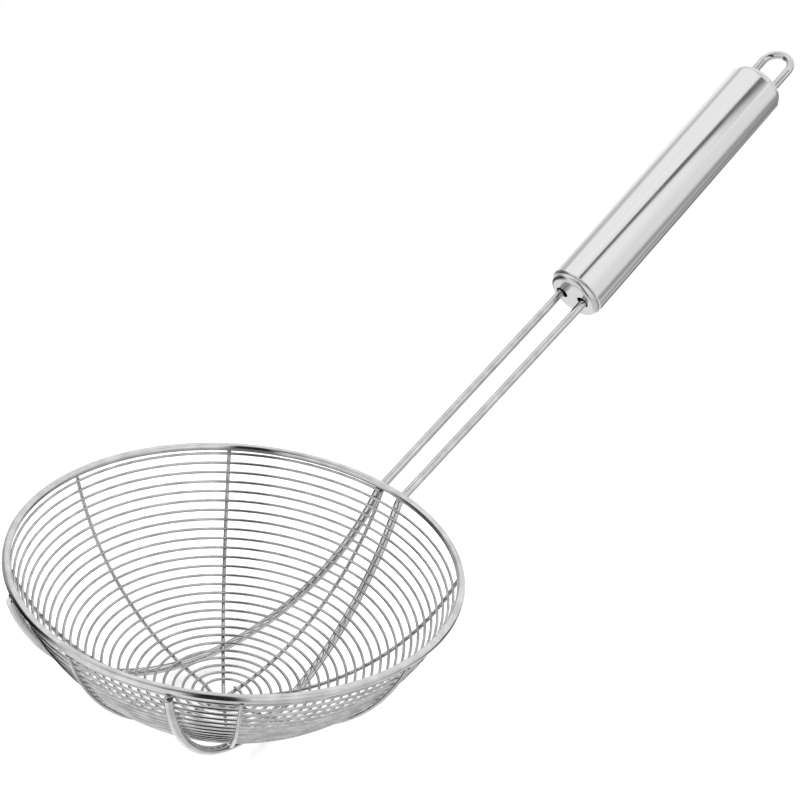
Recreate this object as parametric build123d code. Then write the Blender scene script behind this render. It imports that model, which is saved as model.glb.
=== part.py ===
from build123d import *
import os
from math import acos, asin, cos, degrees, pi, radians, sin, sqrt, tan

os.makedirs("parts", exist_ok=True)

# Spider skimmer: a wound wire bowl on a long wire frame with a tube grip.
# Lengths are in millimetres and angles in degrees.
# The origin is the centre of the rim hoop, +Z runs up the axis of the bowl,
# and +X runs out along the handle.

# Bowl
bowl_diameter = 140.0
bowl_depth = 48.9
rim_wire = 2.6
mesh_wire = 0.9
rib_wire = 1.2
rib_count = 4
spiral_turns = 27
spiral_eye_radius = 5.0
bowl_turn = 2.0
weld_gap = 0.05

# Frame wire, one hairpin that carries the bowl and holds the grip
frame_wire = 2.8
hoop_seat_angle = 15.0
leg_end_angle = 27.9
leg_low_share = 0.57
leg_lean = 3.0
leg_sag = 0.28
neck_spread = 4.6
neck_drop = 4.1
neck_bend_radius = 4.0
elbow_reach = 150.1
elbow_height = 40.5
elbow_spread = 4.8
elbow_bend_radius = 30.0
grip_standoff = 4.3
loop_spread = 5.4
hang_loop_reach = 16.4

# Grip
grip_rise = 30.7
grip_diameter = 20.0
grip_wall = 0.8
grip_tube_length = 102.5
tube_lip_radius = 0.6
cap_stand = 2.4
cap_edge_radius = 1.6
cap_step = 0.7
cap_wall = 0.8
cap_skirt = 6.0
cap_fit = 0.05
front_hole_spread = 4.4
front_hole_diameter = 4.4
rear_hole_spread = 5.3
rear_hole_diameter = 3.2

# Fineness of the faceted wires
wire_sides = 6
stout_wire_sides = 10
near_eye_turn_sides = 16
near_rim_turn_sides = 24
rib_arm_runs = 10
rib_dip_runs = 4
leg_runs = 24
neck_runs = 4
elbow_runs = 2
loop_runs = 10
rib_dip_angle = 8.0
crossing_flat_share = 1.5
eye_zone_share = 0.4

rim_r = rim_wire / 2
mesh_r = mesh_wire / 2
rib_r = rib_wire / 2
frame_r = frame_wire / 2
hoop_radius = bowl_diameter / 2 - rim_r

# The mesh lies on a sphere. The ribs lie against its outside and the frame wire
# against the ribs. The hoop rests on the ribs' ends and on the frame wire.
hoop_lift = mesh_r + rib_wire + weld_gap - rim_r
mesh_sphere = (hoop_radius**2 + bowl_depth**2 - hoop_lift**2) / (2 * (bowl_depth + hoop_lift))
sphere_height = mesh_sphere - bowl_depth
rib_sphere = mesh_sphere + mesh_r + weld_gap + rib_r
frame_sphere = rib_sphere + rib_r + weld_gap + frame_r
hoop_reach = mesh_sphere + hoop_lift
hoop_angle = degrees(acos(sphere_height / hoop_reach))


def on_sphere(radius, polar, azimuth):
    """A point of the bowl, its polar angle counted from the lowest point."""
    across = radius * sin(radians(polar))
    height = sphere_height - radius * cos(radians(polar))
    return Vector(across * cos(radians(azimuth)), across * sin(radians(azimuth)), height)


def faceted_wire(points, wire_diameter, sides):
    """A wire of even polygon section along the points, mitred at each, one flat side to the bowl."""
    corner_radius = wire_diameter / 2 / cos(pi / sides)
    centre = Vector(0, 0, sphere_height)
    runs = [(after - before).normalized() for before, after in zip(points, points[1:])]
    start = Plane(origin=points[0], x_dir=(points[0] + points[1]) / 2 - centre, z_dir=runs[0])
    angles = [(side + 1 / 2) * 2 * pi / sides for side in range(sides)]
    corners = [Vector(corner_radius * cos(angle), corner_radius * sin(angle), 0) for angle in angles]
    ring = [start.from_local_coords(corner) for corner in corners]
    rings = [ring]
    for index, run in enumerate(runs, 1):
        mitre = run + runs[min(index, len(runs) - 1)]
        reach = run.dot(mitre)
        ring = [corner + run * ((points[index] - corner).dot(mitre) / reach) for corner in ring]
        rings.append(ring)
    faces = [Face(Wire.make_polygon(end)) for end in (rings[0][::-1], rings[-1])]
    for near, far in zip(rings, rings[1:]):
        for side in range(sides):
            following = (side + 1) % sides
            outline = [near[side], near[following], far[following], far[side]]
            faces.append(Face(Wire.make_polygon(outline)))
    return Solid(Shell(faces))


def spiral_points():
    """The mesh wire's centre line, with an even step along the bowl from turn to turn."""
    touch = rim_r + weld_gap + mesh_r
    swing = (mesh_sphere**2 + hoop_reach**2 - touch**2) / (2 * mesh_sphere * hoop_reach)
    last_polar = hoop_angle - degrees(acos(swing))
    first_polar = degrees(asin(spiral_eye_radius / mesh_sphere))
    eye_turns = round(spiral_turns * eye_zone_share)
    counts = [near_eye_turn_sides] * eye_turns
    counts += [near_rim_turn_sides] * (spiral_turns - eye_turns)
    points = []
    for turn, count in enumerate(counts):
        for step in range(count):
            share = (turn + step / count) / spiral_turns
            polar = first_polar + (last_polar - first_polar) * share
            points.append(on_sphere(mesh_sphere, polar, bowl_turn - 360 * step / count))
    points.append(on_sphere(mesh_sphere, last_polar, bowl_turn))
    return points


def least_turn_gap(points):
    """The smallest free space between two turns, measured from point to point."""
    gaps = []
    for index, point in enumerate(points):
        others = points[index + near_eye_turn_sides // 2:index + 2 * near_rim_turn_sides]
        gaps += [(other - point).length for other in others]
    return min(gaps) - mesh_wire


def rib_points(azimuth, layer):
    """A rib's centre line from rim to rim, dipping below the ribs that it crosses."""
    end_polar = hoop_angle - degrees(asin((rim_r + weld_gap) / hoop_reach))
    flat_polar = degrees(asin(crossing_flat_share * rib_wire / rib_sphere))
    arm = [end_polar + (rib_dip_angle - end_polar) * run / rib_arm_runs for run in range(rib_arm_runs)]
    dip_step = (flat_polar - rib_dip_angle) / rib_dip_runs
    arm += [rib_dip_angle + dip_step * run for run in range(rib_dip_runs + 1)]
    half = []
    for index, polar in enumerate(arm):
        share = min(1, max(0, (rib_dip_angle - polar) / (rib_dip_angle - flat_polar)))
        dip = layer * (rib_wire + weld_gap) * (1 - cos(pi * share)) / 2
        step = arm[index] - arm[index + 1] if index < len(arm) - 1 else 2 * flat_polar
        spread = cos(radians(step / 2))
        half.append((polar, (rib_sphere + dip) / spread))
    near = [on_sphere(radius, polar, azimuth) for polar, radius in half]
    far = [on_sphere(radius, polar, azimuth + 180) for polar, radius in reversed(half)]
    return near + far


def rim_hoop():
    """The stout ring that closes the bowl."""
    section = Plane.XZ * Pos(hoop_radius, 0) * RegularPolygon(rim_r, stout_wire_sides)
    return revolve(section, Axis.Z)


def leg_arc(side):
    """One leg's arc under the bowl, from its end below the hoop to the start of its neck."""
    seat_reach = rim_r + 2 * weld_gap + frame_r
    seat_across = hoop_radius + seat_reach * sin(radians(hoop_seat_angle))
    seat_drop = seat_reach * cos(radians(hoop_seat_angle))
    azimuth = radians(180 + bowl_turn - side * leg_end_angle)
    far_end = Vector(seat_across * cos(azimuth), seat_across * sin(azimuth), -seat_drop)
    leg_sphere = mesh_sphere + mesh_r + 2 * weld_gap + frame_r
    across = sqrt(leg_sphere**2 - (sphere_height + neck_drop)**2)
    near_end = Vector(sqrt(across**2 - neck_spread**2), side * neck_spread, -neck_drop)
    low = near_end + (far_end - near_end) * leg_low_share + Vector(0, leg_lean, 0)
    depth = sqrt((frame_sphere + leg_sag)**2 - low.X**2 - low.Y**2)
    bottom = Vector(low.X, low.Y, sphere_height - depth)
    return ThreePointArc(far_end, bottom, near_end)


def leg_points(side, along):
    """One leg's centre line, from its end below the hoop to the straight run inside the grip."""
    arc = leg_arc(side)
    climb = arc % 1
    elbow = Vector(elbow_reach, side * elbow_spread, elbow_height)
    neck_turn = climb.get_angle(elbow - arc @ 1)
    neck_run = neck_bend_radius * tan(radians(neck_turn / 2))
    corner = arc @ 1 + climb * neck_run
    shank = (elbow - corner).normalized()
    elbow_run = elbow_bend_radius * tan(radians(shank.get_angle(along) / 2))
    neck = TangentArc([arc @ 1, corner + shank * neck_run], tangent=climb)
    bend = TangentArc([elbow - shank * elbow_run, elbow + along * elbow_run], tangent=shank)
    points = [arc @ (step / leg_runs) for step in range(leg_runs)]
    points += [neck @ (step / neck_runs) for step in range(neck_runs + 1)]
    points += [bend @ (step / elbow_runs) for step in range(elbow_runs + 1)]
    return points


def frame_points(along):
    """The hairpin's centre line from one end below the hoop, round the hang loop, to the other."""
    loop_run = grip_standoff + grip_tube_length + 2 * cap_stand + hang_loop_reach - frame_r - loop_spread
    loop_centre = Vector(elbow_reach, 0, elbow_height) + along * loop_run
    loop = []
    for step in range(loop_runs + 1):
        angle = pi * step / loop_runs
        aside = Vector(0, loop_spread * cos(angle), 0)
        loop.append(loop_centre + aside + along * (loop_spread * sin(angle)))
    return leg_points(1, along) + loop + leg_points(-1, along)[::-1]


def grip_tube():
    """The thin tube that the hand holds, with its ends turned over slightly."""
    outer = Pos(0, 0, cap_stand) * extrude(Circle(grip_diameter / 2), grip_tube_length)
    outer = fillet(outer.edges().filter_by(GeomType.CIRCLE), tube_lip_radius)
    bore = Circle(grip_diameter / 2 - grip_wall)
    return outer - extrude(bore, grip_tube_length + 2 * cap_stand)


def end_cap(hole_spread, hole_diameter):
    """A pressed cup that plugs the tube and lets the two legs of the frame wire through."""
    face_radius = grip_diameter / 2 - cap_step
    skirt_radius = grip_diameter / 2 - grip_wall - cap_fit
    head = extrude(Circle(face_radius), cap_stand)
    rim = head.edges().filter_by(GeomType.CIRCLE).sort_by(Axis.Z)[0]
    head = fillet(rim, cap_edge_radius)
    cup = head + extrude(Circle(skirt_radius), cap_stand + cap_skirt)
    cavity = Pos(0, 0, cap_wall) * extrude(Circle(skirt_radius - cap_wall), cap_stand + cap_skirt)
    cup -= cavity
    for aside in (-hole_spread, hole_spread):
        cup -= Pos(0, aside, 0) * extrude(Circle(hole_diameter / 2), cap_stand)
    return cup


def export_node(shape, name):
    """One subcomponent to its own file."""
    export_step(shape, os.path.join("parts", name + ".step"))


along = Vector(cos(radians(grip_rise)), 0, sin(radians(grip_rise)))
grip_start = Vector(elbow_reach, 0, elbow_height) + along * grip_standoff
grip_plane = Plane(origin=grip_start, x_dir=(-along.Z, 0, along.X), z_dir=along)
rear_plane = grip_plane.offset(grip_tube_length + 2 * cap_stand)
rear_plane = Plane(origin=rear_plane.origin, x_dir=rear_plane.x_dir, z_dir=-rear_plane.z_dir)

turns = spiral_points()
print("least gap between turns:", round(least_turn_gap(turns), 2), "mm")
export_node(faceted_wire(turns, mesh_wire, wire_sides), "mesh_spiral")
for number in range(rib_count):
    points = rib_points(bowl_turn + 180 / rib_count * number, number)
    export_node(faceted_wire(points, rib_wire, wire_sides), f"rib_{number + 1}")
export_node(rim_hoop(), "rim_hoop")
hairpin = frame_points(along)
export_node(faceted_wire(hairpin, frame_wire, stout_wire_sides), "frame_wire")
export_node(grip_plane * grip_tube(), "grip_tube")
export_node(grip_plane * end_cap(front_hole_spread, front_hole_diameter), "front_cap")
export_node(rear_plane * end_cap(rear_hole_spread, rear_hole_diameter), "rear_cap")
hairpin_length = sum((after - before).length for before, after in zip(hairpin, hairpin[1:]))
print("frame wire length:", round(hairpin_length, 1), "mm")
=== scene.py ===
# %% [markdown]
# # A spider skimmer in stainless steel
# A spider skimmer lifts food out of hot oil. Its bowl is one thin wire wound as a
# spiral and spot welded to four ribs. A stout hoop closes the rim, and one long
# hairpin wire runs under the bowl, makes the two shanks, passes through the tube
# grip and turns round behind it as a hang loop.
#
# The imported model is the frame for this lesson. It holds every piece at its real
# size and place, with plain six- and ten-sided wires. Here each piece is made
# again with the round sections, welds and steel finish that the eye sees.

# %% Load the frame
import bpy
from math import acos, asin, atan2, cos, pi, radians, sin, sqrt, tan
from mathutils import Matrix, Vector


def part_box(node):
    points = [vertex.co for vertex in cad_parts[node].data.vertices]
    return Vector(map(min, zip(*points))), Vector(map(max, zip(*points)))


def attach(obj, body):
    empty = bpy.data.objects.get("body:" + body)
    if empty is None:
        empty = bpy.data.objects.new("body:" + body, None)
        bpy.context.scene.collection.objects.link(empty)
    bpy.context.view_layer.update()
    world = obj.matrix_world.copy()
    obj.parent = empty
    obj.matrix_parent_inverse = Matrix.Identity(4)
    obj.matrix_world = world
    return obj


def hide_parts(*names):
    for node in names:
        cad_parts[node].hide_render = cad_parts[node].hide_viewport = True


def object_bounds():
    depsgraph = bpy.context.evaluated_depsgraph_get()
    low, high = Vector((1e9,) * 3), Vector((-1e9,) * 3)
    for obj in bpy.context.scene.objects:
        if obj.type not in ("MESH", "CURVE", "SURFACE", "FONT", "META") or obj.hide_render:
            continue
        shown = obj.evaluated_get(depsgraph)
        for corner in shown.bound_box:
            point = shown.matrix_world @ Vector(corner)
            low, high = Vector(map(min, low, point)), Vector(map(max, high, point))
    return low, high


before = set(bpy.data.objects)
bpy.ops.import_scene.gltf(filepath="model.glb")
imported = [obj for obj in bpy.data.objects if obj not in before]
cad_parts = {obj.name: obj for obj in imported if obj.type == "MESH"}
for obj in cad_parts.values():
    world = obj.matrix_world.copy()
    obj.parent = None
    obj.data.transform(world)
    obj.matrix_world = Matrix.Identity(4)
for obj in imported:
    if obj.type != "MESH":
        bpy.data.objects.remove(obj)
cad_box = [list(corner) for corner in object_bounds()]
print("nodes in the frame:", sorted(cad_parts))

# %% [markdown]
# ## The sizes that drive the wires
# Blender works in metres and wire is sold in millimetres, so one scale value
# turns one into the other. The hoop's width comes from the frame. The rest are
# the wire gauges and bends of the real object.

# %% Driving sizes
mm = 0.001
rim_low, rim_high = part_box("rim_hoop")
bowl_diameter = rim_high.x - rim_low.x
bowl_depth = 48.9 * mm
rim_wire = 2.6 * mm
mesh_wire = 0.9 * mm
rib_wire = 1.2 * mm
frame_wire = 2.8 * mm
weld_gap = 0.05 * mm
rib_count = 4
spiral_turns = 27
spiral_eye_radius = 5.0 * mm
bowl_turn = radians(2.0)
hoop_seat_angle = radians(15.0)
leg_end_angle = radians(27.9)
leg_low_share = 0.57
leg_lean = 3.0 * mm
leg_sag = 0.28 * mm
neck_spread = 4.6 * mm
neck_drop = 4.1 * mm
neck_bend_radius = 4.0 * mm
elbow_reach = 150.1 * mm
elbow_height = 40.5 * mm
elbow_spread = 4.8 * mm
elbow_bend_radius = 30.0 * mm
grip_standoff = 4.3 * mm
loop_spread = 5.4 * mm
hang_loop_reach = 16.4 * mm
grip_rise = radians(30.7)
grip_diameter = 20.0 * mm
grip_tube_length = 102.5 * mm
cap_stand = 2.4 * mm
print("bowl", round(bowl_diameter / mm, 1), "mm across")

# %% [markdown]
# ## The sphere under the bowl
# The mesh wire lies on a sphere whose centre is above the bowl. The ribs lie
# against its outside and the hairpin wire against the ribs, so each layer is the
# same sphere grown by the wires inside it.

# %% The sphere and its layers
hoop_radius = (bowl_diameter - rim_wire) / 2
hoop_lift = mesh_wire / 2 + rib_wire + weld_gap - rim_wire / 2
mesh_sphere = (hoop_radius**2 + bowl_depth**2 - hoop_lift**2) / (2 * (bowl_depth + hoop_lift))
sphere_height = mesh_sphere - bowl_depth
rib_sphere = mesh_sphere + mesh_wire / 2 + weld_gap + rib_wire / 2
frame_sphere = rib_sphere + rib_wire / 2 + weld_gap + frame_wire / 2
hoop_reach = mesh_sphere + hoop_lift
hoop_angle = acos(sphere_height / hoop_reach)
print("mesh sphere radius", round(mesh_sphere / mm, 2), "mm")


# %% Helpers for points round the bowl
def around(radius, azimuth, height=0.0):
    """A point at a distance from the bowl's upright axis."""
    return Vector((radius * cos(azimuth), radius * sin(azimuth), height))


def on_sphere(radius, polar, azimuth):
    """A point of the bowl, its polar angle counted from the lowest point."""
    return around(radius * sin(polar), azimuth, sphere_height - radius * cos(polar))


# %% [markdown]
# ## Wire as a curve
# A wire is a line with a round section, and in Blender that is a curve with a
# bevel. A bevel resolution of n gives the section 2n + 4 sides. Pulling a circle
# through thousands of small extrusions would give the same tube with far more
# work. The curve becomes a mesh at once, so that its place is in its points and
# its ends are closed.

# %% Helpers that select
def pick(piece):
    """Selects one piece and nothing else, and makes it active."""
    bpy.ops.object.select_all(action="DESELECT")
    piece.select_set(True)
    bpy.context.view_layer.objects.active = piece


def unselect_mesh():
    """Leaves no part of the active piece's mesh selected."""
    bpy.ops.object.mode_set(mode="EDIT")
    bpy.ops.mesh.select_all(action="DESELECT")
    bpy.ops.object.mode_set(mode="OBJECT")


# %% A helper that draws a wire
wire_smooth_angle = radians(50)


def draw_wire(name, points, diameter, sides):
    """A round wire along a line of points, as one closed mesh."""
    curve = bpy.data.curves.new(name, "CURVE")
    curve.dimensions = "3D"
    curve.bevel_depth = diameter / 2
    curve.bevel_resolution = sides // 2 - 2
    curve.use_fill_caps = True
    line = curve.splines.new("POLY")
    line.points.add(len(points) - 1)
    for knot, point in zip(line.points, points):
        knot.co = (*point, 1)
    piece = bpy.data.objects.new(name, curve)
    bpy.context.scene.collection.objects.link(piece)
    pick(piece)
    bpy.ops.object.convert(target="MESH")
    piece = bpy.context.object
    bpy.ops.object.shade_smooth_by_angle(angle=wire_smooth_angle)
    print(name, len(piece.data.polygons), "faces")
    return piece


# %% [markdown]
# ## The mesh wire
# One wire starts at the eye of the bowl and climbs by the same arc at each turn,
# until it meets the hoop above the rib where it began. The climb is worked out
# as a share of the whole way, so the turns stay even.

# %% Wind the mesh wire
mesh_sides = 8
turn_steps = 80
touch = rim_wire / 2 + weld_gap + mesh_wire / 2
swing = (mesh_sphere**2 + hoop_reach**2 - touch**2) / (2 * mesh_sphere * hoop_reach)
last_polar = hoop_angle - acos(swing)
first_polar = asin(spiral_eye_radius / mesh_sphere)
spiral_line = []
for step in range(spiral_turns * turn_steps + 1):
    share = step / (spiral_turns * turn_steps)
    polar = first_polar + (last_polar - first_polar) * share
    azimuth = bowl_turn - 2 * pi * step / turn_steps
    spiral_line.append(on_sphere(mesh_sphere, polar, azimuth))
mesh_spiral = draw_wire("mesh_wire_round", spiral_line, mesh_wire, mesh_sides)
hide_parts("mesh_spiral")

# %% [markdown]
# ## The ribs
# Four wires run from rim to rim. They all cross at the bottom, so each dips by
# one more wire than the one before, over a flat as wide as the crossing.

# %% The line of a rib
rib_sides = 12
arm_steps = 70
rib_dip_angle = radians(8)
crossing_flat_share = 1.5
rib_end = hoop_angle - asin((rim_wire / 2 + weld_gap) / hoop_reach)
rib_flat = asin(crossing_flat_share * rib_wire / rib_sphere)


def rib_line(azimuth, layer):
    """The rib's centre line from one rim end to the other."""
    line = []
    for step in range(-arm_steps, arm_steps + 1):
        polar = rib_end * abs(step) / arm_steps
        share = min(1, max(0, (rib_dip_angle - polar) / (rib_dip_angle - rib_flat)))
        dip = layer * (rib_wire + weld_gap) * (1 - cos(pi * share)) / 2
        turned = azimuth if step > 0 else azimuth + pi
        line.append(on_sphere(rib_sphere + dip, polar, turned))
    return line


# %% Bend the ribs
ribs = []
for number in range(rib_count):
    line = rib_line(bowl_turn + pi / rib_count * number, number)
    rib = draw_wire(f"rib_round_{number + 1}", line, rib_wire, rib_sides)
    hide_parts(f"rib_{number + 1}")
    ribs.append(rib)

# %% [markdown]
# ## The hoop
# The hoop is a ring of thicker wire. Its ends are butt welded and the weld is
# ground down, which leaves the wire a hair thinner there. The joint lies between
# the two shanks. A torus gives the ring, and the sections at the joint are scaled
# down in edit mode.

# %% Make the hoop
hoop_sides = 20
hoop_sections = 240
bpy.ops.object.select_all(action="DESELECT")
bpy.ops.mesh.primitive_torus_add(
    major_segments=hoop_sections,
    minor_segments=hoop_sides,
    major_radius=hoop_radius,
    minor_radius=rim_wire / 2,
)
hoop = bpy.context.object
hoop.name = "hoop_round"

# %% Grind the hoop's joint
joint_half = radians(1.6)
joint_share = 0.95
unselect_mesh()
for vertex in hoop.data.vertices:
    vertex.select = abs(atan2(vertex.co.y, vertex.co.x)) < joint_half
ground = sum(vertex.select for vertex in hoop.data.vertices)
bpy.ops.object.mode_set(mode="EDIT")
bpy.ops.transform.resize(value=(joint_share,) * 3, center_override=(hoop_radius, 0, 0))
bpy.ops.object.mode_set(mode="OBJECT")
bpy.ops.object.shade_smooth()
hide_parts("rim_hoop")
print("sections ground down:", ground // hoop_sides)

# %% [markdown]
# ## The hairpin wire
# Its line is made of arcs and straight runs that meet without a kink. Each leg
# starts under the far side of the hoop and follows the outside of the ribs. Just
# under the near side of the hoop it bends outward at the neck, rises as a shank
# and turns into the grip. Hand welding left both legs leaning a little sideways.

# %% Helpers for arcs
def arc_through(start, middle, end, steps):
    """Points of the arc through three points, and its direction at the end."""
    first, second = middle - start, end - start
    normal = first.cross(second)
    offset = first.length_squared * second - second.length_squared * first
    centre = start + offset.cross(normal) / (2 * normal.length_squared)
    spoke, last = start - centre, end - centre
    axis = normal.normalized()
    turn = atan2(axis.dot(spoke.cross(last)), spoke.dot(last)) % (2 * pi)
    points = []
    for step in range(steps + 1):
        points.append(centre + Matrix.Rotation(turn * step / steps, 3, axis) @ spoke)
    return points, axis.cross(last).normalized()


def bend(start, corner, end, steps):
    """Points of the arc that leaves start-corner and joins corner-end without a kink."""
    run_in = (corner - start).normalized()
    run_out = (end - corner).normalized()
    turn = run_in.angle(run_out)
    radius = (corner - start).length / tan(turn / 2)
    side = (run_out - run_in * run_in.dot(run_out)).normalized()
    centre = start + side * radius
    points = []
    for step in range(steps + 1):
        angle = turn * step / steps
        points.append(centre - side * (radius * cos(angle)) + run_in * (radius * sin(angle)))
    return points


# %% One leg, from its end under the hoop to the grip
leg_steps = 70
neck_steps = 9
elbow_steps = 6
along = Vector((cos(grip_rise), 0, sin(grip_rise)))
seat_reach = rim_wire / 2 + 2 * weld_gap + frame_wire / 2
seat_across = hoop_radius + seat_reach * sin(hoop_seat_angle)
seat_drop = seat_reach * cos(hoop_seat_angle)
leg_sphere = mesh_sphere + mesh_wire / 2 + 2 * weld_gap + frame_wire / 2
neck_across = sqrt(leg_sphere**2 - (sphere_height + neck_drop)**2)


def leg_line(side):
    """The leg's centre line, the place of its end and the place of its neck."""
    far_end = around(seat_across, pi + bowl_turn - side * leg_end_angle, -seat_drop)
    near_end = Vector((sqrt(neck_across**2 - neck_spread**2), side * neck_spread, -neck_drop))
    low = near_end.lerp(far_end, leg_low_share) + Vector((0, leg_lean, 0))
    low.z = sphere_height - sqrt((frame_sphere + leg_sag)**2 - low.x**2 - low.y**2)
    line, climb = arc_through(far_end, low, near_end, leg_steps)
    elbow = Vector((elbow_reach, side * elbow_spread, elbow_height))
    neck_run = neck_bend_radius * tan(climb.angle(elbow - near_end) / 2)
    corner = near_end + climb * neck_run
    shank = (elbow - corner).normalized()
    elbow_run = elbow_bend_radius * tan(shank.angle(along) / 2)
    line += bend(near_end, corner, corner + shank * neck_run, neck_steps)[1:]
    line += bend(elbow - shank * elbow_run, elbow, elbow + along * elbow_run, elbow_steps)
    return line, far_end, corner


# %% The whole hairpin
hairpin_sides = 16
loop_steps = 32
left_leg, left_end, left_neck = leg_line(1)
right_leg, right_end, right_neck = leg_line(-1)
grip_full = grip_tube_length + 2 * cap_stand
grip_start = Vector((elbow_reach, 0, elbow_height)) + along * grip_standoff
loop_start = grip_full + hang_loop_reach - frame_wire / 2 - loop_spread
loop_centre = grip_start + along * loop_start
loop = []
for step in range(loop_steps + 1):
    angle = pi * step / loop_steps
    sideways = Vector((0, loop_spread * cos(angle), 0))
    loop.append(loop_centre + sideways + along * (loop_spread * sin(angle)))
hairpin_line = left_leg + loop + right_leg[::-1]
hairpin = draw_wire("hairpin_round", hairpin_line, frame_wire, hairpin_sides)
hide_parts("frame_wire")

# %% [markdown]
# ## The grip tube
# The grip is a thin tube with its edges turned over. It starts as an open
# cylinder, gets its wall from a Solidify modifier and its soft edges from a
# Bevel. A Weighted Normal modifier then keeps the soft edges from bending the
# reflections beside them. The tube is shaped upright at the origin and laid
# along the handle, and its place goes into its mesh.

# %% A helper that lays a piece along the grip
lay = Matrix.Rotation(pi / 2 - grip_rise, 4, "Y")


def lay_along(piece, distance, flip=False):
    """Turns an upright piece onto the grip's axis at a distance from its bowl end."""
    place = Matrix.Translation(grip_start + along * distance) @ lay
    if flip:
        place = place @ Matrix.Rotation(pi, 4, "X")
    piece.data.transform(place)
    piece.data.update()


# %% Helpers that apply modifiers
sheet_smooth_angle = radians(35)
full_weight = 100


def shape(piece, kind, **settings):
    """Adds one modifier with its settings and applies it."""
    modifier = piece.modifiers.new(kind.lower(), kind)
    for name, value in settings.items():
        setattr(modifier, name, value)
    pick(piece)
    bpy.ops.object.modifier_apply(modifier=modifier.name)


def soften(piece, width, segments, sharp_angle):
    """Rounds the edges that are sharper than an angle and smooths the rest."""
    limit = {"limit_method": "ANGLE", "angle_limit": sharp_angle}
    shape(piece, "BEVEL", width=width, segments=segments, **limit)
    pick(piece)
    bpy.ops.object.shade_smooth_by_angle(angle=sheet_smooth_angle)
    shape(piece, "WEIGHTED_NORMAL", weight=full_weight, keep_sharp=True)
    print(piece.name, "faces:", len(piece.data.polygons))


# %% Make the tube
tube_sides = 128
grip_wall = 0.8 * mm
lip_bevel = 0.36 * mm
bpy.ops.object.select_all(action="DESELECT")
bpy.ops.mesh.primitive_cylinder_add(
    vertices=tube_sides,
    radius=grip_diameter / 2,
    depth=grip_tube_length,
    end_fill_type="NOTHING",
)
tube = bpy.context.object
tube.name = "grip_tube_round"
shape(tube, "SOLIDIFY", thickness=grip_wall, offset=-1)
soften(tube, width=lip_bevel, segments=4, sharp_angle=radians(60))
lay_along(tube, cap_stand + grip_tube_length / 2)
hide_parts("grip_tube")

# %% [markdown]
# ## The end caps
# Each cap is a pressed cup. Its head stands out of the tube with a rounded edge,
# its skirt grips the bore, and two holes let the hairpin's legs through. At the
# bowl end the holes are wider than the wire, so a dark crescent shows beside
# each leg.

# %% Helpers for solids
cap_sides = 96


def cylinder(radius, low, high, place=(0, 0)):
    """An upright cylinder between two heights, for joining or cutting."""
    bpy.ops.object.select_all(action="DESELECT")
    bpy.ops.mesh.primitive_cylinder_add(
        vertices=cap_sides,
        radius=radius,
        depth=high - low,
        location=(*place, (low + high) / 2),
    )
    bpy.ops.object.transform_apply(location=True, rotation=True, scale=True)
    return bpy.context.object


def combine(piece, other, operation):
    """Joins another solid to a piece or cuts it away, and removes it."""
    shape(piece, "BOOLEAN", object=other, operation=operation, solver="EXACT")
    bpy.data.objects.remove(other)


# %% The head of a cap
cap_step = 0.7 * mm
cap_edge_radius = 1.6 * mm
cap_edge_steps = 8
head_radius = grip_diameter / 2 - cap_step


def cap_head(name):
    """The cap's solid head, with its face down at the origin and a rounded edge."""
    bpy.ops.object.select_all(action="DESELECT")
    bpy.ops.mesh.primitive_cylinder_add(
        vertices=cap_sides, radius=head_radius, depth=cap_stand, location=(0, 0, cap_stand / 2)
    )
    cap = bpy.context.object
    cap.name = name
    unselect_mesh()
    for edge in cap.data.edges:
        edge.select = all(cap.data.vertices[corner].co.z < 0 for corner in edge.vertices)
    bpy.ops.object.mode_set(mode="EDIT")
    bpy.ops.mesh.bevel(offset=cap_edge_radius, segments=cap_edge_steps, affect="EDGES")
    bpy.ops.object.mode_set(mode="OBJECT")
    bpy.ops.object.transform_apply(location=True, rotation=True, scale=True)
    return cap


# %% A whole cap
cap_wall = 0.8 * mm
cap_skirt = 6.0 * mm
cap_fit = 0.05 * mm
hole_bevel = 0.15 * mm
skirt_radius = grip_diameter / 2 - grip_wall - cap_fit


def pressed_cap(name, hole_spread, hole_diameter):
    """A cap with its skirt, its hollow and its two holes."""
    cap = cap_head(name)
    deep = cap_stand + cap_skirt
    combine(cap, cylinder(skirt_radius, cap_stand / 2, deep), "UNION")
    combine(cap, cylinder(skirt_radius - cap_wall, cap_wall, deep * 2), "DIFFERENCE")
    for sideways in (-hole_spread, hole_spread):
        hole = cylinder(hole_diameter / 2, -deep, deep, (0, sideways))
        combine(cap, hole, "DIFFERENCE")
    soften(cap, width=hole_bevel, segments=2, sharp_angle=radians(55))
    return cap


# %% Make both caps
front_hole_spread = 4.4 * mm
front_hole_diameter = 4.4 * mm
rear_hole_spread = 5.3 * mm
rear_hole_diameter = 3.2 * mm
front_cap = pressed_cap("front_cap_pressed", front_hole_spread, front_hole_diameter)
lay_along(front_cap, 0)
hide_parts("front_cap")
rear_cap = pressed_cap("rear_cap_pressed", rear_hole_spread, rear_hole_diameter)
lay_along(rear_cap, grip_full, flip=True)
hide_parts("rear_cap")

# %% [markdown]
# ## The welds
# Every crossing is welded. The beads that the eye can find are where the wires
# meet the hoop and at the two ends of the mesh wire. Each starts as an
# icosphere, is roughened a little and drawn out along the joint, and all of
# them are joined into one piece.

# %% A helper that makes a bead
bead_roughness = 0.08
bead_evenness = 0.2
bead_swelling = 0.6
bead_waist = 0.75
squeeze = Matrix.Diagonal((bead_waist, bead_waist, 1.0, 1.0))
bead_list = []


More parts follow.
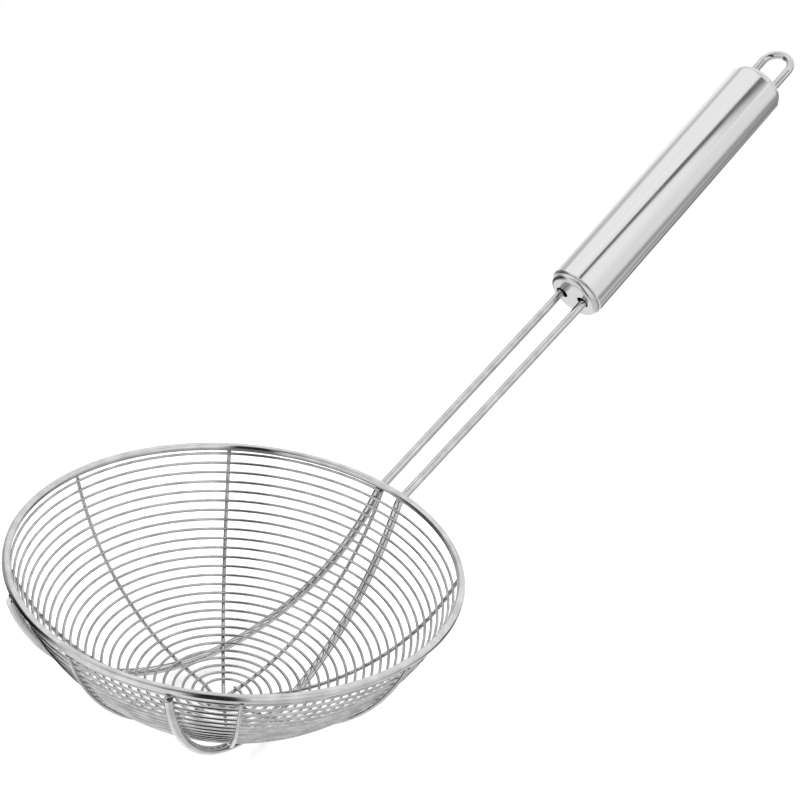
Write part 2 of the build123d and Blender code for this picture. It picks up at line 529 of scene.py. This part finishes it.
def bead(place, radius, stretch, seed):
    """A small uneven lump of weld metal."""
    bpy.ops.object.select_all(action="DESELECT")
    bpy.ops.mesh.primitive_ico_sphere_add(subdivisions=3, radius=radius)
    lump = bpy.context.object
    bpy.ops.object.mode_set(mode="EDIT")
    bpy.ops.transform.vertex_random(
        offset=radius * bead_roughness, uniform=bead_evenness, normal=bead_swelling, seed=seed
    )
    bpy.ops.object.mode_set(mode="OBJECT")
    turn = Vector((0, 0, 1)).rotation_difference(stretch).to_matrix().to_4x4()
    lump.data.transform(Matrix.Translation(place) @ turn @ squeeze)
    bead_list.append(lump)


def along_hoop(azimuth):
    """The direction in which the hoop runs at an azimuth."""
    return Vector((-sin(azimuth), cos(azimuth), 0))


# %% Beads where the hairpin meets the hoop
end_bead = 1.1 * mm
neck_bead = 0.8 * mm
past_tip = 0.6 * mm
toward_hoop = 0.45
left_tip = left_end + (left_leg[0] - left_leg[1]).normalized() * past_tip
right_tip = right_end + (right_leg[0] - right_leg[1]).normalized() * past_tip
for place, size in (
    (left_tip, end_bead),
    (right_tip, neck_bead),
    (left_neck, neck_bead),
    (right_neck, neck_bead),
):
    azimuth = atan2(place.y, place.x)
    seat = place.lerp(around(hoop_radius, azimuth), toward_hoop)
    bead(seat, size, along_hoop(azimuth), len(bead_list))

# %% Beads at the ends of the ribs and of the mesh wire
rib_bead = 0.7 * mm
mesh_bead = 0.6 * mm
for number in range(2 * rib_count):
    azimuth = bowl_turn + pi / rib_count * number
    place = on_sphere(rib_sphere, rib_end, azimuth)
    bead(place, rib_bead, along_hoop(azimuth), len(bead_list))
for place, seed in ((spiral_line[0], 21), (spiral_line[-1], 22)):
    bead(place, mesh_bead, Vector((0, 1, 0)), seed)

# %% Join the beads
bpy.ops.object.select_all(action="DESELECT")
for lump in bead_list:
    lump.select_set(True)
bpy.context.view_layer.objects.active = bead_list[0]
bpy.ops.object.join()
welds = bpy.context.object
welds.name = "weld_beads"
bpy.ops.object.shade_smooth()
print("weld beads:", len(bead_list))

# %% [markdown]
# ## Shader maths
# A material reads better as a formula than as a heap of nodes. One class wraps a
# socket, so that the usual operators add the Math nodes. A second one adds every
# other kind of node.

# %% A class for shader formulas
def feed(tree, socket, value):
    """Links a value to a socket, or sets a plain number or colour on it."""
    if isinstance(value, Value):
        tree.links.new(value.socket, socket)
    else:
        socket.default_value = value


class Value:
    """One output socket, with operators that add Math nodes."""

    def __init__(self, tree, socket):
        self.tree = tree
        self.socket = socket

    def math(self, operation, *others):
        """A Math node on this value and others."""
        node = self.tree.nodes.new("ShaderNodeMath")
        node.operation = operation
        for socket, item in zip(node.inputs, (self, *others)):
            feed(self.tree, socket, item)
        return Value(self.tree, node.outputs[0])

    def __add__(self, other):
        return self.math("ADD", other)

    def __sub__(self, other):
        return self.math("SUBTRACT", other)

    def __mul__(self, other):
        return self.math("MULTIPLY", other)

    def __rsub__(self, other):
        return (self * -1).math("ADD", other)

    __radd__ = __add__
    __rmul__ = __mul__

    def clamp(self):
        """The value held between 0 and 1."""
        return self.math("MAXIMUM", 0.0).math("MINIMUM", 1.0)


# %% A class that adds nodes
class Maker:
    """Adds nodes to one material or world."""

    def __init__(self, tree):
        self.tree = tree

    def node(self, kind, settings=None, sockets=None, output=0):
        """A node with its settings first, then its sockets, as one output if it has any."""
        node = self.tree.nodes.new(kind)
        for name, value in (settings or {}).items():
            setattr(node, name, value)
        for name, value in (sockets or {}).items():
            feed(self.tree, node.inputs[name], value)
        return Value(self.tree, node.outputs[output]) if node.outputs else None

    def mix_colour(self, factor, first, second):
        """A blend of two colours."""
        sockets = {0: factor, 6: first, 7: second}
        return self.node("ShaderNodeMix", {"data_type": "RGBA"}, sockets, output=2)

    def noise(self, place, scale, detail):
        """A noise pattern, with its scale per metre."""
        sockets = {"Vector": place, "Scale": scale, "Detail": detail}
        return self.node("ShaderNodeTexNoise", sockets=sockets)


# %% [markdown]
# ## Drawn wire
# Drawn stainless wire is bright with a soft sheen. Its tone and gloss wander a
# little along the wire, and fine draw marks break the reflections. The patterns
# read Object coordinates, so they stay on the steel from every side.

# %% Helpers for steel
object_place = 3
grain_depth = 0.02 * mm


def new_material(name):
    """An empty material, with its node maker and its Principled shader."""
    material = bpy.data.materials.new(name)
    material.use_nodes = True
    shader = material.node_tree.nodes["Principled BSDF"]
    return material, Maker(material.node_tree), shader


def steel_surface(maker, shader, colour, roughness, grain, grain_strength):
    """Feeds a metal's colour, roughness and fine grain to its shader."""
    feed(maker.tree, shader.inputs["Base Color"], colour)
    feed(maker.tree, shader.inputs["Roughness"], roughness)
    relief = {"Height": grain, "Strength": grain_strength, "Distance": grain_depth}
    feed(maker.tree, shader.inputs["Normal"], maker.node("ShaderNodeBump", sockets=relief))
    shader.inputs["Metallic"].default_value = 1.0


def dress(material, *pieces):
    """Gives pieces one material in the place of any other."""
    for piece in pieces:
        piece.data.materials.clear()
        piece.data.materials.append(material)
    print(material.name, "on", ", ".join(piece.name for piece in pieces))


# %% The drawn wire material
tone_patches = 220.0
draw_marks = 2600.0
patch_cut = 0.35
patch_contrast = 3.0
mark_strength = 0.25


def drawn_wire(name, light, dark, smooth, rough):
    """Drawn wire, from a light and a dark tone and two roughness levels."""
    material, maker, shader = new_material(name)
    place = maker.node("ShaderNodeTexCoord", output=object_place)
    cloud = maker.noise(place, scale=tone_patches, detail=3.0)
    grain = maker.noise(place, scale=draw_marks, detail=2.0)
    mask = ((cloud - patch_cut) * patch_contrast).clamp()
    colour = maker.mix_colour(mask, dark, light)
    roughness = mask * (smooth - rough) + rough
    steel_surface(maker, shader, colour, roughness, grain, mark_strength)
    return material


stout_steel = drawn_wire(
    "stout_wire", light=(0.74, 0.74, 0.75, 1), dark=(0.58, 0.58, 0.59, 1), smooth=0.05, rough=0.12
)
thin_steel = drawn_wire(
    "thin_wire", light=(0.62, 0.62, 0.63, 1), dark=(0.44, 0.44, 0.45, 1), smooth=0.08, rough=0.18
)
dress(stout_steel, hoop, hairpin)
dress(thin_steel, mesh_spiral, *ribs)

# %% [markdown]
# ## Weld metal
# Weld metal cools with a skin of oxide, darker and duller than the wire.

# %% The weld material
weld_steel = drawn_wire(
    "weld_metal", light=(0.30, 0.30, 0.30, 1), dark=(0.08, 0.08, 0.08, 1), smooth=0.25, rough=0.45
)
dress(weld_steel, welds)

# %% [markdown]
# ## Polished tube and pressed caps
# The tube was polished along its length. Very faint lines run that way, so the
# pattern is first turned onto the grip's axis and then stretched along it. The
# caps have the dull, even grain of pressed sheet, which is the same pattern
# without the stretch.

# %% The polished tube material
gloss_patches = 90.0
line_cut = 0.3
line_contrast = 2.5
line_strength = 0.12
worn_share = 0.93


def polished(name, tone, smooth, rough, stretch):
    """Polished sheet steel with faint lines along the grip."""
    material, maker, shader = new_material(name)
    place = maker.node("ShaderNodeTexCoord", output=object_place)
    turn = {"Vector": place, "Rotation": (0, grip_rise, 0)}
    turned = maker.node("ShaderNodeMapping", sockets=turn)
    drawn = maker.node("ShaderNodeMapping", sockets={"Vector": turned, "Scale": stretch})
    lines = maker.noise(drawn, scale=1.0, detail=4.0)
    cloud = maker.noise(place, scale=gloss_patches, detail=3.0)
    mask = ((lines - line_cut) * line_contrast).clamp()
    worn = tuple(part * worn_share for part in tone)
    colour = maker.mix_colour(mask, (*worn, 1), (*tone, 1))
    roughness = cloud * (rough - smooth) + smooth
    steel_surface(maker, shader, colour, roughness, lines, line_strength)
    return material


tube_steel = polished(
    "polished_tube", (0.82, 0.82, 0.83), smooth=0.05, rough=0.12, stretch=(12.0, 1800.0, 1800.0)
)
cap_steel = polished(
    "pressed_cap", (0.74, 0.74, 0.75), smooth=0.18, rough=0.34, stretch=(700.0, 700.0, 700.0)
)
dress(tube_steel, tube)
dress(cap_steel, front_cap, rear_cap)

# %% [markdown]
# ## Carry every piece
# The skimmer is one welded body, so every piece rides on the root.

# %% Ride on the root body
for piece in (mesh_spiral, *ribs, hoop, hairpin, tube, front_cap, rear_cap, welds):
    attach(piece, "root")

# %% [markdown]
# ## The camera
# The camera stands where the photograph was taken. Its place is given by the
# bowl: how high and from which side it is seen, from how far, how much the
# frame is rolled, and where in the frame the hoop's centre falls.

# %% Aim the camera
frame_px = 800
focal_px = 2600
hoop_px = (235.4, 563.3)
view_elevation = radians(29.27)
view_heading = radians(51.0)
view_roll = radians(6.72)
ahead = Vector((sin(view_heading), cos(view_heading), 0))
level = Vector((cos(view_heading), -sin(view_heading), 0))
forward = ahead * cos(view_elevation) - Vector((0, 0, sin(view_elevation)))
below = forward.cross(level)
right = level * cos(view_roll) - below * sin(view_roll)
down = level * sin(view_roll) + below * cos(view_roll)
shift_x = (hoop_px[0] - frame_px / 2) / focal_px
shift_y = (hoop_px[1] - frame_px / 2) / focal_px
to_hoop = (forward + right * shift_x + down * shift_y).normalized()

# %% Set the camera
view_distance = 789.1 * mm
sensor_mm = 36
camera_data = bpy.data.cameras.new("camera")
camera_data.sensor_width = sensor_mm
camera_data.lens = focal_px / frame_px * sensor_mm
camera = bpy.data.objects.new("camera", camera_data)
bpy.context.scene.collection.objects.link(camera)
axes = Matrix((right, -down, -forward)).transposed().to_4x4()
camera.matrix_world = Matrix.Translation(-to_hoop * view_distance) @ axes
bpy.context.scene.camera = camera
print("camera at", [round(part / mm) for part in camera.location], "mm")

# %% [markdown]
# ## The floor
# The skimmer stands on a round white table. The table keeps the soft shadow,
# and a little of its own light for the camera takes the rest of it to white.
# The metal doesn't mirror the table but the white room beyond it.

# %% Make the floor
floor_gap = 0.2 * mm
floor_radius = 0.43
table_tone = (0.8, 0.8, 0.8, 1)
table_glow = 0.42
white = (1.0, 1.0, 1.0, 1)
bpy.ops.object.select_all(action="DESELECT")
bpy.ops.mesh.primitive_circle_add(
    vertices=96,
    radius=floor_radius,
    fill_type="NGON",
    location=(0, 0, cad_box[0][2] - floor_gap),
)
floor = bpy.context.object
floor.name = "floor"
floor.visible_glossy = False
print("floor at", round(floor.location.z / mm, 2), "mm")

# %% The table's material
paper = bpy.data.materials.new("white_table")
paper.use_nodes = True
paper.node_tree.nodes.clear()
maker = Maker(paper.node_tree)
seen = maker.node("ShaderNodeLightPath", output=0)
light = {"Color": white, "Strength": seen * table_glow}
glow = maker.node("ShaderNodeEmission", sockets=light)
matt = maker.node("ShaderNodeBsdfDiffuse", sockets={"Color": table_tone})
both = maker.node("ShaderNodeAddShader", sockets={0: glow, 1: matt})
maker.node("ShaderNodeOutputMaterial", sockets={"Surface": both})
floor.data.materials.append(paper)

# %% [markdown]
# ## The room
# Polished steel is drawn by the room around it. This one is white above and a
# little darker below, and pure white behind the skimmer, where the camera looks.
# A gap between the two overhead lights draws the thin line along the grip. Dark
# cards low on both sides and a tall one at the camera's own place draw the black
# lines on the hoop. Each card is a patch of directions: a bearing from the
# camera's line of sight, positive to the right, and a height above the horizon.
# The metal shows the white room with its cards, and the camera itself sees plain
# white past the skimmer.

# %% Directions in the room
world = bpy.data.worlds.new("studio")
bpy.context.scene.world = world
world.use_nodes = True
world.node_tree.nodes.clear()
maker = Maker(world.node_tree)
way = maker.node("ShaderNodeTexCoord", output=0)


def along_way(direction):
    """The cosine between the looked-up direction and one direction."""
    sockets = {0: way, 1: direction}
    return maker.node("ShaderNodeVectorMath", {"operation": "DOT_PRODUCT"}, sockets, output=1)


up = along_way((0, 0, 1))
away = along_way(ahead)
aside = along_way(level)
bearing = aside.math("ARCTAN2", away)
height = up.math("ARCSINE")


# %% Patches of directions
def near(value, middle, half, edge):
    """1 near a middle angle, falling to 0 over a soft edge, all in degrees."""
    off = (value - radians(middle)).math("ABSOLUTE")
    return ((off - radians(half)) * (-1 / radians(edge)) + 1).clamp()


def card(angle, side, level, depth):
    """What one dark card leaves, from its place, half width and soft edge both ways."""
    return 1 - near(angle, *side) * near(height, *level) * depth


# %% The gap between the lights and the darker side below
gap_heading = radians(62.9)
gap_middle = -0.153
gap_half = 1.2
gap_edge = 1.4
gap_depth = 0.9
overhead_start = 0.6
overhead_edge = 0.2
low_start = 0.3
low_edge = radians(20)
right_start = radians(25)
right_edge = radians(30)
low_depth = 0.28
across = along_way((sin(gap_heading), cos(gap_heading), 0))
overhead = ((up - overhead_start) * (1 / overhead_edge)).clamp()
gap = near(across - gap_middle, 0, gap_half, gap_edge) * overhead
below_horizon = (height * (-1 / low_edge) + low_start).clamp()
to_right = ((bearing - right_start) * (1 / right_edge)).clamp()
shade = (1 - gap * gap_depth) * (1 - below_horizon * to_right * low_depth)

# %% Dark cards
# Each row gives the bearing and then the height as middle, half width and soft
# edge in degrees, and how much of the light the card takes.
behind = bearing.math("ABSOLUTE")
cards = (
    (behind, (180, 9, 8), (15, 52, 14), 0.97),
    (bearing, (-163, 8, 10), (52, 14, 12), 0.6),
    (bearing, (-138, 18, 22), (50, 16, 20), 0.4),
    (bearing, (-80, 6, 9), (-14, 12, 9), 0.95),
    (bearing, (-62, 14, 9), (-33, 11, 8), 0.92),
    (bearing, (-42, 10, 8), (-41, 7, 7), 0.9),
    (bearing, (-72, 22, 16), (-5, 22, 14), 0.55),
    (bearing, (-80, 14, 10), (0, 14, 18), 0.85),
    (bearing, (-36, 6, 10), (12, 12, 12), 0.4),
    (bearing, (57, 5, 8), (-13, 8, 7), 0.85),
    (bearing, (40, 6, 7), (-36, 4, 6), 0.78),
    (bearing, (58, 12, 12), (-18, 10, 8), 0.5),
    (bearing, (84, 12, 10), (-13, 3, 7), 0.45),
    (bearing, (105, 15, 20), (12, 12, 25), 0.14),
)
for angle, sideways, upright, depth in cards:
    shade = shade * card(angle, sideways, upright, depth)
print("dark cards in the room:", len(cards))

# %% Light the room
black = (0.0, 0.0, 0.0, 1)
camera_ray = maker.node("ShaderNodeLightPath", output=0)
room = maker.mix_colour(shade.math("MAXIMUM", camera_ray), black, white)
light_room = maker.node("ShaderNodeBackground", sockets={"Color": room, "Strength": 1.0})
maker.node("ShaderNodeOutputWorld", sockets={"Surface": light_room})
bpy.context.scene.view_settings.view_transform = "Standard"

# %% [markdown]
# ## The lamps
# Two large soft boxes give the table its faint shadow. The steel doesn't mirror
# them, because the room already holds every light that it shows.

# %% Hang the soft lamps
lamp_target = Vector((0.08, 0, 0.02))


def soft_lamp(name, place, size, power):
    """A square soft box that points at the bowl."""
    data = bpy.data.lights.new(name, "AREA")
    data.size = size
    data.energy = power
    lamp = bpy.data.objects.new(name, data)
    bpy.context.scene.collection.objects.link(lamp)
    lamp.location = place
    lamp.visible_glossy = False
    aim = lamp_target - Vector(place)
    lamp.rotation_euler = aim.to_track_quat("-Z", "Y").to_euler()
    print(name, "lamp of", power, "W")


soft_lamp("key", place=(-0.5, 0.6, 1.1), size=0.8, power=9)
soft_lamp("fill", place=(0.3, -0.9, 0.9), size=0.9, power=5)
